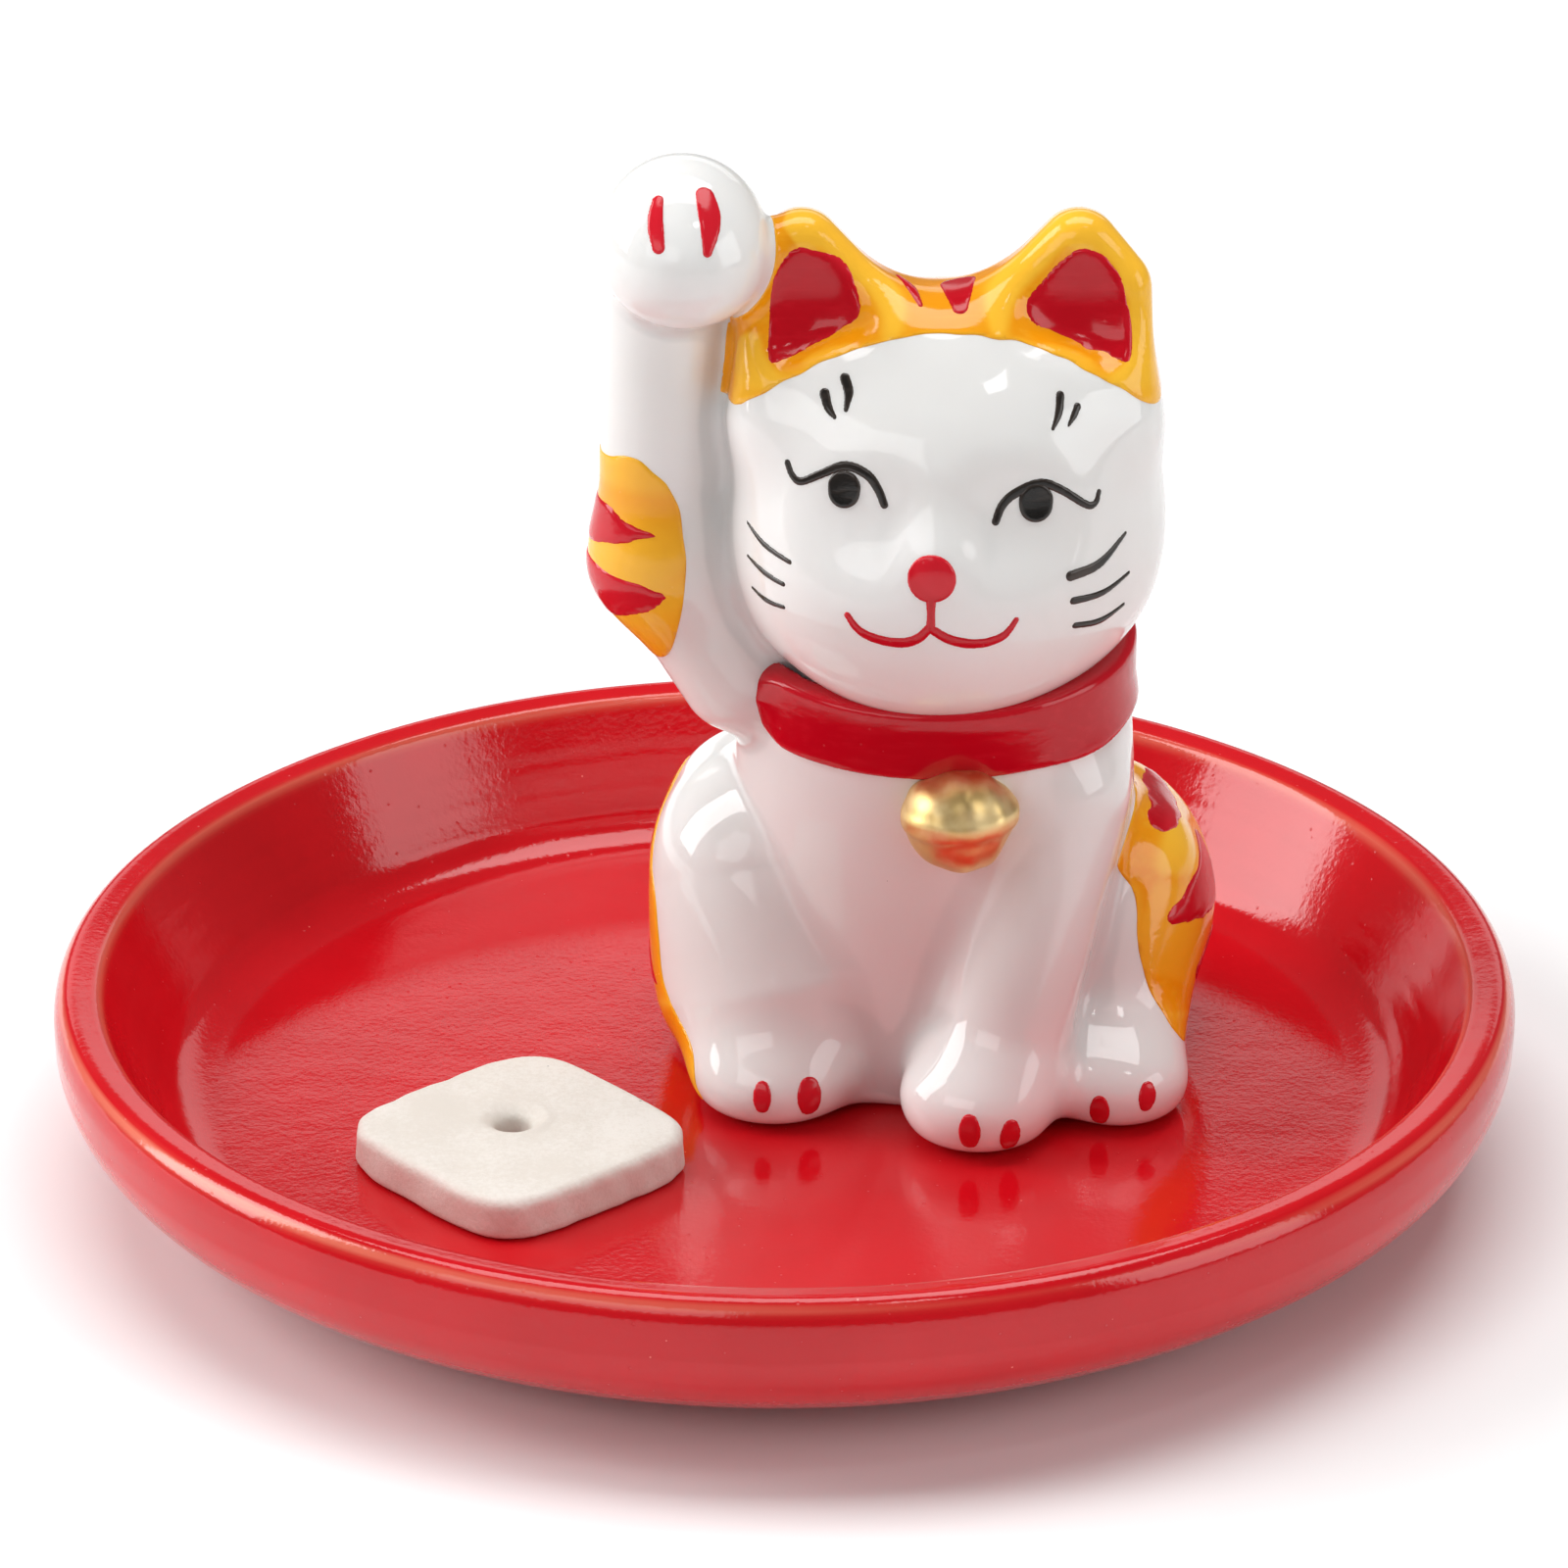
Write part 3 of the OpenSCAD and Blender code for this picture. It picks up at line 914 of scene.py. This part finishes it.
def cut_out(points, quads, mark):
    """The part of a mesh where the mark is negative, cut along the mark's edge."""
    m = mark(points)
    m = np.where(np.abs(m) < 1e-4, 1e-4, m)
    triangles = np.concatenate([quads[:, [0, 1, 2]], quads[:, [0, 2, 3]]])
    inside = m[triangles] < 0
    count = inside.sum(1)
    faces = [triangles[count == 3]]
    made, places = [], []

    def crossing(a, b):
        key = np.minimum(a, b) * len(points) + np.maximum(a, b)
        share = (m[a] / (m[a] - m[b]))[:, None]
        made.append(key)
        places.append(points[a] * (1 - share) + points[b] * share)
        return key + len(points) ** 2

    for number in (1, 2):
        chosen = triangles[count == number]
        odd = (inside[count == number] == (number == 1)).argmax(1)
        a, b, c = (chosen[np.arange(len(chosen)), (odd + k) % 3] for k in range(3))
        ab, ca = crossing(a, b), crossing(c, a)
        if number == 1:
            faces.append(np.stack([a, ab, ca], -1))
        else:
            faces.append(np.stack([b, c, ca], -1))
            faces.append(np.stack([b, ca, ab], -1))
    faces = np.concatenate(faces)
    keys, first = np.unique(np.concatenate(made), return_index=True)
    names, faces = np.unique(faces, return_inverse=True)
    faces = faces.reshape(-1, 3)
    old = names < len(points)
    result = np.empty((len(names), 3))
    result[old] = points[names[old]]
    slot_of = np.searchsorted(keys, names[~old] - len(points) ** 2)
    edge = np.concatenate(places)[first][slot_of]
    for _ in range(2):
        value, gradient = slope_of(mark, edge)
        edge = edge - gradient * (value / np.maximum((gradient**2).sum(-1), 0.2))[:, None]
        edge = settle(cat_field, edge, 1)
    result[~old] = edge
    return result, faces


def coat_piece(name, points, faces, enamel, bend, edge):
    """A piece of enamel that keeps the bend of the skin and the depth inside the mark."""
    piece = make_piece(name, points, faces, enamel, "cat", (), CAT)
    store(piece, "bend", bend)
    store(piece, "edge", edge)


def painted(name, mark, enamel, layer=LAYER):
    """A raised patch of enamel where the mark is negative."""
    points, faces = cut_out(cat_points, cat_faces, mark)
    value, slope = slope_of(cat_field, points)
    out = slope / length(slope)[:, None]
    depth = np.clip(-mark(points), 0, None)
    lift = layer * (0.3 + 0.7 * np.sqrt(np.clip(depth / 0.4, 0, 1)))
    shell = np.concatenate([points + out * lift[:, None], points - out * SUNK])
    total = len(points)
    a, b, c = faces.T
    edges = np.concatenate([np.stack(pair, -1) for pair in ((a, b), (b, c), (c, a))])
    key = edges[:, 0] * total + edges[:, 1]
    rim = edges[~np.isin(key, edges[:, 1] * total + edges[:, 0])]
    wall = np.stack([rim[:, 1], rim[:, 0], rim[:, 0] + total, rim[:, 1] + total], -1)
    under = np.stack([a, c, b], -1) + total
    closed = faces.tolist() + under.tolist() + wall.tolist()
    bend = bend_of(cat_field, points)
    coat_piece(name, shell, closed, enamel, np.tile(bend, 2), np.tile(depth, 2))


FRONT = (0, 2)
SIDE = (1, 2)


def patch(loop, axes=FRONT, facing=None, wander=0.06):
    """A mark inside a closed loop drawn on the front (x, z) or on the side (y, z)."""
    curve = smooth_path(loop, closed=True)

    def mark(p):
        u, v = p[..., axes[0]], p[..., axes[1]]
        hand = wander * (np.sin(1.9 * u + 0.7 * v) + 0.7 * np.sin(1.3 * v - 2.3 * u + 1))
        area = inside_loop(u, v, curve) + hand
        if facing is not None:
            area = carve(area, facing(p), 0.3)
        return area

    return mark


SPREAD = 0.06


def stroke(points, widths):
    """A mark along a brush stroke of these widths; the wet enamel spreads a little past them."""
    path = settle(cat_field, smooth_path(points, per_span=4), 3)
    run = np.linspace(0, 1, len(path))
    radii = np.interp(run, np.linspace(0, 1, len(widths)), np.array(widths) / 2) + SPREAD

    def mark(p):
        near = np.full(p.shape[:-1], 1e9)
        for a, b, ra, rb in zip(path[:-1], path[1:], radii[:-1], radii[1:]):
            near = np.minimum(near, limb(p, a, b, ra, rb))
        return near

    return mark, path


def brushed(name, strokes, enamel, step=0.16, layer=LAYER):
    """Several strokes as one piece of enamel."""
    all_points, all_faces, bends, edges = [], [], [], []
    step = step
    for points, widths in strokes:
        mark, path = stroke(points, widths)

        def coat(p):
            ground = cat_field(p)
            return carve(carve(ground - layer, mark(p), 0.2), -(ground + SUNK), 0.1)

        margin = max(widths) / 2 + 0.8
        low, high = path.min(0) - margin, path.max(0) + margin
        piece_points, piece_faces = skin(coat, low, high, step)
        all_faces.append(piece_faces + sum(len(p) for p in all_points))
        all_points.append(piece_points)
        bends.append(bend_of(cat_field, piece_points))
        edges.append(-mark(piece_points))
    coat_piece(name, np.concatenate(all_points), np.concatenate(all_faces).tolist(), enamel,
               np.concatenate(bends), np.concatenate(edges))


# %% [markdown]
# ### The amber patches
#
# One covers the ears and the crown, one the elbow of the raised arm, and one each flank. An
# outline runs past the form where the patch wraps round it. `facing` keeps a patch to the part
# of the skin it belongs to: a side of the cat, or the form on one side of a crease.

# %% Amber
def on_head(p):
    """Negative on the head's side of the crease between the head and the raised arm."""
    return head_form(p) - shoulder_and_arm(p)


FLANK_X = 13.0
CREASE = 1.3
EAR_FRONT = 5.6


def left_side(p):
    return FLANK_X - p[..., 0]


def on_haunch(p):
    """Negative on the haunch's side of the crease between the left haunch and the trunk."""
    return np.maximum(left_side(p), left_haunch(p) - trunk(p) - CREASE)


def right_side(p):
    return FLANK_X + p[..., 0]


def front_of_ears(p):
    return p[..., 1] + EAR_FRONT


CROWN = [
    (-26, 61.8), (-18.0, 61.8), (-16.4, 62.1), (-15.6, 62.7), (-14.4, 63.5), (-11.6, 65.1),
    (-8.4, 66.6), (-3.7, 68.1), (0.4, 68.4), (5.4, 67.8), (9.8, 66.1), (14.2, 63.7), (17.4, 61.8),
    (24, 61.0), (24, 86), (-26, 86),
]
ELBOW = [
    (-31.0, 55.6), (-27.4, 56.2), (-25.6, 56.9), (-23.7, 56.3), (-21.6, 53.8), (-20.7, 49.4),
    (-20.9, 45.3), (-21.7, 41.0), (-23.0, 38.8), (-25.4, 39.0), (-28.0, 41.0), (-31.0, 44.0),
]
LEFT_FLANK = [
    (-2.0, 29.8), (-8.0, 28.5), (-8.6, 22.5), (-6.9, 18.6), (-8.3, 14.5), (-9.1, 11.6), (-9.9, 8.3),
    (-10.3, 6.4), (-9.3, 5.0), (-6.4, 4.4), (0.0, 5.2), (7.0, 8.0), (11.0, 13.0), (10.0, 21.0),
    (5.0, 26.5), (0.5, 29.2),
]
RIGHT_FLANK = [
    (8.3, 22.5), (0.6, 20.4), (-1.8, 17.6), (-4.0, 15.2), (-5.0, 12.6), (-6.2, 9.0), (-8.8, 6.6),
    (-11.4, 5.0), (-12.6, 2.6), (-12.0, 1.0), (-2.0, 1.0), (5.0, 3.2), (10.0, 8.0), (13.0, 15.0),
    (11.0, 21.0),
]
painted("amber_crown", patch(CROWN, facing=on_head, wander=0.04), AMBER)
painted("amber_elbow", patch(ELBOW), AMBER)
painted("amber_left_flank", patch(LEFT_FLANK, SIDE, on_haunch, 0.03), AMBER)
painted("amber_right_flank", patch(RIGHT_FLANK, SIDE, right_side, 0.03), AMBER)

# %% [markdown]
# ### The red
#
# The insides of the ears and the stripes are painted over the amber, so their layer is thicker.

# %% Red patches
OVER = 0.2
RIGHT_EAR = [
    (-11.6, 74.2), (-8.4, 73.3), (-7.3, 71.6), (-6.7, 69.7), (-7.7, 68.0), (-12.7, 65.6),
    (-14.2, 66.0), (-14.0, 69.5), (-13.4, 72.7),
]
LEFT_EAR = [
    (11.0, 74.2), (13.5, 72.7), (14.4, 70.5), (14.8, 68.6), (14.8, 66.1), (13.9, 65.6),
    (10.2, 66.8), (6.9, 68.5), (6.5, 70.4), (9.2, 73.2),
]
STRIPES = {
    "red_elbow_stripe_upper": (FRONT, None, [
        (-31, 53.0), (-28.2, 52.5), (-26.7, 52.2), (-25.4, 51.5), (-23.0, 50.6), (-25.4, 49.8),
        (-28.0, 48.8), (-31, 48.0),
    ]),
    "red_elbow_stripe_lower": (FRONT, None, [
        (-31, 47.4), (-26.8, 47.0), (-24.6, 46.6), (-22.2, 45.6), (-24.3, 43.7), (-27.3, 42.4),
        (-31, 41.2),
    ]),
    "red_flank_stripe_upper": (SIDE, left_side, [
        (9.0, 21.4), (4.1, 20.4), (-2.4, 20.9), (-3.2, 21.4), (-3.0, 22.0), (-1.0, 22.7),
        (5.0, 22.6),
    ]),
    "red_flank_stripe_middle": (SIDE, left_side, [
        (4.5, 17.4), (4.0, 12.0), (1.9, 11.9), (-1.8, 12.8), (-5.3, 13.9), (-6.7, 14.5),
        (-6.2, 15.6), (-3.8, 16.8), (-0.9, 17.6), (2.5, 18.6),
    ]),
    "red_flank_stripe_lower": (SIDE, left_side, [
        (4.0, 9.8), (4.0, 7.0), (-1.3, 7.2), (-3.8, 8.0), (-3.6, 9.3), (-0.5, 9.2),
    ]),
}
painted("red_right_ear", patch(RIGHT_EAR, facing=front_of_ears), RED, OVER)
painted("red_left_ear", patch(LEFT_EAR, facing=front_of_ears), RED, OVER)
for name, (axes, facing, loop) in STRIPES.items():
    painted(name, patch(loop, axes, facing), RED, OVER)
strips = [
    ([(-3.7, -5.4, 70.9), (-2.8, -7.2, 70.4), (-2.0, -9.2, 69.8)], [0.5, 0.9, 0.4]),
    ([(1.1, -5.4, 70.3), (1.15, -7.5, 70.1), (1.2, -9.4, 69.5)], [2.9, 2.2, 1.2]),
    ([(-23.6, 6.0, 17.6), (-23.4, 3.4, 17.2), (-23.0, 1.6, 16.8)], [3.0, 1.8, 0.3]),
    ([(-22.8, 1.6, 8.4), (-22.6, -1.4, 8.2), (-22.0, -4.0, 8.0)], [2.4, 1.6, 0.3]),
]
brushed("red_stripes", strips, RED, 0.22, OVER)

# %% [markdown]
# Nose, mouth and claws are single touches of the same red.

# %% Nose, mouth and claws
NOSE_AT = (-1.2, -21.2, 51.4)
touch = [
    ([NOSE_AT, (-1.15, -21.2, 51.3)], [3.8, 3.8]),
    ([(-1.2, -21.2, 49.7), (-1.2, -21.2, 48.4), (-1.2, -21.2, 47.2)], [0.75, 0.6, 0.7]),
    ([(-7.8, -20.0, 47.8), (-7.1, -20.2, 46.8), (-6.2, -20.4, 46.2), (-4.7, -20.7, 45.8),
      (-3.2, -20.9, 45.8), (-2.1, -21.1, 46.3), (-1.3, -21.2, 47.2)], [0.5, 0.75, 0.85, 0.7]),
    ([(-1.3, -21.2, 47.2), (0.0, -21.1, 46.3), (1.4, -21.0, 45.8), (2.9, -20.8, 45.7),
      (4.3, -20.6, 46.1), (5.0, -20.5, 46.7), (5.6, -20.5, 47.6)], [0.7, 0.85, 0.7, 0.4]),
]
brushed("nose_and_mouth", touch, RED, 0.16)
claws = [
    ([(-22.7, -11.0, 79.3), (-22.9, -12.3, 78.1), (-22.6, -13.5, 76.3)], [0.9, 1.2, 1.3, 1.0]),
    ([(-19.0, -10.6, 79.6), (-18.6, -12.3, 78.0), (-18.8, -13.8, 76.0)], [1.5, 1.9, 1.5, 0.7]),
    ([(-14.6, -16.6, 4.3), (-14.6, -16.8, 3.5), (-14.6, -16.8, 2.7)], [1.1, 1.45, 1.45, 1.1]),
    ([(-10.7, -16.1, 4.1), (-10.7, -16.3, 3.3), (-10.7, -16.2, 2.5)], [1.7, 2.1, 2.1, 1.7]),
    ([(2.3, -22.3, 4.1), (2.3, -22.4, 3.2), (2.3, -22.1, 2.2)], [1.3, 1.75, 1.75, 1.3]),
    ([(5.6, -22.0, 3.5), (5.6, -21.9, 2.6), (5.6, -21.5, 1.7)], [1.3, 1.75, 1.75, 1.3]),
    ([(13.1, -16.9, 3.1), (13.1, -16.9, 2.3), (13.1, -16.6, 1.5)], [1.2, 1.6, 1.6, 1.2]),
    ([(17.0, -16.3, 4.1), (17.0, -16.6, 3.5), (16.9, -16.7, 2.8)], [1.1, 1.5, 1.5, 1.1]),
]
brushed("claws", claws, RED, 0.18)

# %% [markdown]
# ### The black lines
#
# Lids, brows and whiskers are thin strokes that start full and run out. The pupils are
# round drops that keep a high gloss.

# %% Eyes, brows and whiskers
lines = [
    ([(-12.7, -14.8, 58.7), (-12.3, -15.2, 57.8), (-11.6, -15.8, 57.5), (-9.9, -16.4, 58.4),
      (-8.0, -16.9, 59.3), (-6.3, -17.5, 58.8), (-5.4, -17.9, 57.7), (-4.9, -18.2, 56.5)],
     [0.5, 0.6, 0.75, 0.6]),
    ([(3.9, -18.5, 55.2), (4.4, -18.2, 56.4), (5.4, -17.9, 57.3), (7.4, -17.4, 58.0),
      (9.1, -17.0, 57.3), (11.2, -16.5, 55.8), (11.9, -16.0, 55.8), (12.2, -15.7, 56.6)],
     [0.6, 0.75, 0.6, 0.4]),
    ([(-9.6, -13.5, 64.1), (-9.3, -14.3, 63.2), (-8.8, -14.9, 62.6)], [0.8, 0.65, 0.3]),
    ([(-8.0, -13.2, 65.3), (-7.7, -14.1, 64.4), (-7.9, -14.8, 63.2)], [0.75, 0.75, 0.35]),
    ([(9.0, -13.9, 64.1), (8.9, -14.8, 63.0), (8.4, -15.6, 61.9)], [0.65, 0.6, 0.25]),
    ([(10.4, -14.0, 63.2), (10.1, -14.5, 62.6), (9.7, -15.1, 62.0)], [0.55, 0.5, 0.2]),
    ([(-15.7, -12.0, 52.5), (-14.5, -14.3, 51.6), (-12.4, -17.0, 51.1)], [0.2, 0.45, 0.35]),
    ([(-15.8, -12.5, 49.8), (-14.5, -14.7, 49.3), (-12.9, -16.8, 49.1)], [0.2, 0.45, 0.35]),
    ([(-15.5, -12.9, 47.2), (-14.4, -14.8, 46.9), (-12.9, -16.8, 47.1)], [0.2, 0.45, 0.3]),
    ([(9.9, -18.4, 50.5), (12.3, -16.6, 50.9), (14.3, -14.3, 52.5)], [0.8, 0.75, 0.3]),
    ([(10.1, -18.4, 48.4), (12.6, -16.4, 48.3), (14.7, -14.1, 49.0)], [0.6, 0.5, 0.3]),
    ([(10.4, -18.2, 46.1), (12.6, -16.2, 45.7), (14.5, -14.1, 46.2)], [0.5, 0.55, 0.3]),
]
brushed("face_lines", lines, BLACK, 0.15)
pupils = [
    ([(-8.1, -17.3, 57.6), (-8.1, -17.3, 57.2)], [2.6, 2.5]),
    ([(7.1, -17.6, 56.6), (7.1, -17.6, 56.2)], [2.7, 2.6]),
]
brushed("pupils", pupils, BLACK, 0.15, 0.16)

# %% [markdown]
# ## Floor, lights and camera
#
# A pale floor and large soft boxes, as for a catalogue. The glaze is a mirror, so the shape
# of each light shows in it: a tall box to the upper left, a wide one overhead, a low card
# behind the set and a pale card to the right. Two weaker lights in front open up the shadows.

# %% Stage
def make_floor():
    material, tree, shader = finish_named("pale floor", Roughness=0.9)
    cloud = textured(tree, "ShaderNodeTexNoise", Scale=3.0, Detail=2.0)
    colour = blend_colour(tree, (cloud, "Fac"), (0.93, 0.93, 0.93), (0.95, 0.95, 0.95))
    feed(tree, colour, shader, "Base Color")
    half = 3.0
    mesh = bpy.data.meshes.new("floor")
    corners = [(-half, -half, 0), (half, -half, 0), (half, half, 0), (-half, half, 0)]
    mesh.from_pydata(corners, [], [(0, 1, 2, 3)])
    mesh.materials.append(material)
    floor = bpy.data.objects.new("floor", mesh)
    bpy.context.scene.collection.objects.link(floor)


make_floor()
world = bpy.data.worlds.new("studio")
world.use_nodes = True
world.node_tree.nodes["Background"].inputs["Color"].default_value = (1, 1, 1, 1)
world.node_tree.nodes["Background"].inputs["Strength"].default_value = 0.14
bpy.context.scene.world = world


def soft_box(name, place, aim, size, power):
    light = bpy.data.lights.new(name, "AREA")
    light.shape = "RECTANGLE"
    light.size, light.size_y = size
    light.energy = power
    lamp = bpy.data.objects.new(name, light)
    lamp.location = place
    lamp.rotation_euler = (Vector(aim) - Vector(place)).to_track_quat("-Z", "Y").to_euler()
    bpy.context.scene.collection.objects.link(lamp)
    print(f"{name}: {size[0]} by {size[1]} m, {power} W")


middle = (0.0, 0.0, 0.04)
soft_box("window", (-1.02, 0.11, 0.58), middle, (0.58, 0.85), 9.4)
soft_box("front_fill", (-0.56, -0.92, 0.62), middle, (0.95, 0.42), 2.4)
soft_box("small_front", (0.28, -0.48, 0.98), middle, (0.14, 0.10), 0.30)
soft_box("overhead", (0.0, 0.15, 1.1), middle, (1.1, 0.6), 9.2)
soft_box("back_card", (0.0, 2.0, 0.75), middle, (2.4, 0.5), 3.4)
soft_box("right_card", (1.05, -0.45, 0.45), middle, (0.7, 0.7), 4.0)

# %% [markdown]
# The camera looks down at the set from about 24 degrees, straight on to the cat.

# %% Camera
LOOK_AT = Vector((0, 0, 0.0329))
DISTANCE = 0.6
DOWN = math.radians(24.29)
lens = bpy.data.cameras.new("camera")
lens.lens = 168.48
lens.sensor_width = 36
camera = bpy.data.objects.new("camera", lens)
camera.location = LOOK_AT + DISTANCE * Vector((0, -math.cos(DOWN), math.sin(DOWN)))
camera.rotation_euler = (LOOK_AT - camera.location).to_track_quat("-Z", "Y").to_euler()
bpy.context.scene.collection.objects.link(camera)
bpy.context.scene.camera = camera
bpy.context.scene.view_settings.view_transform = "Standard"
print("camera at", [round(value, 3) for value in camera.location])
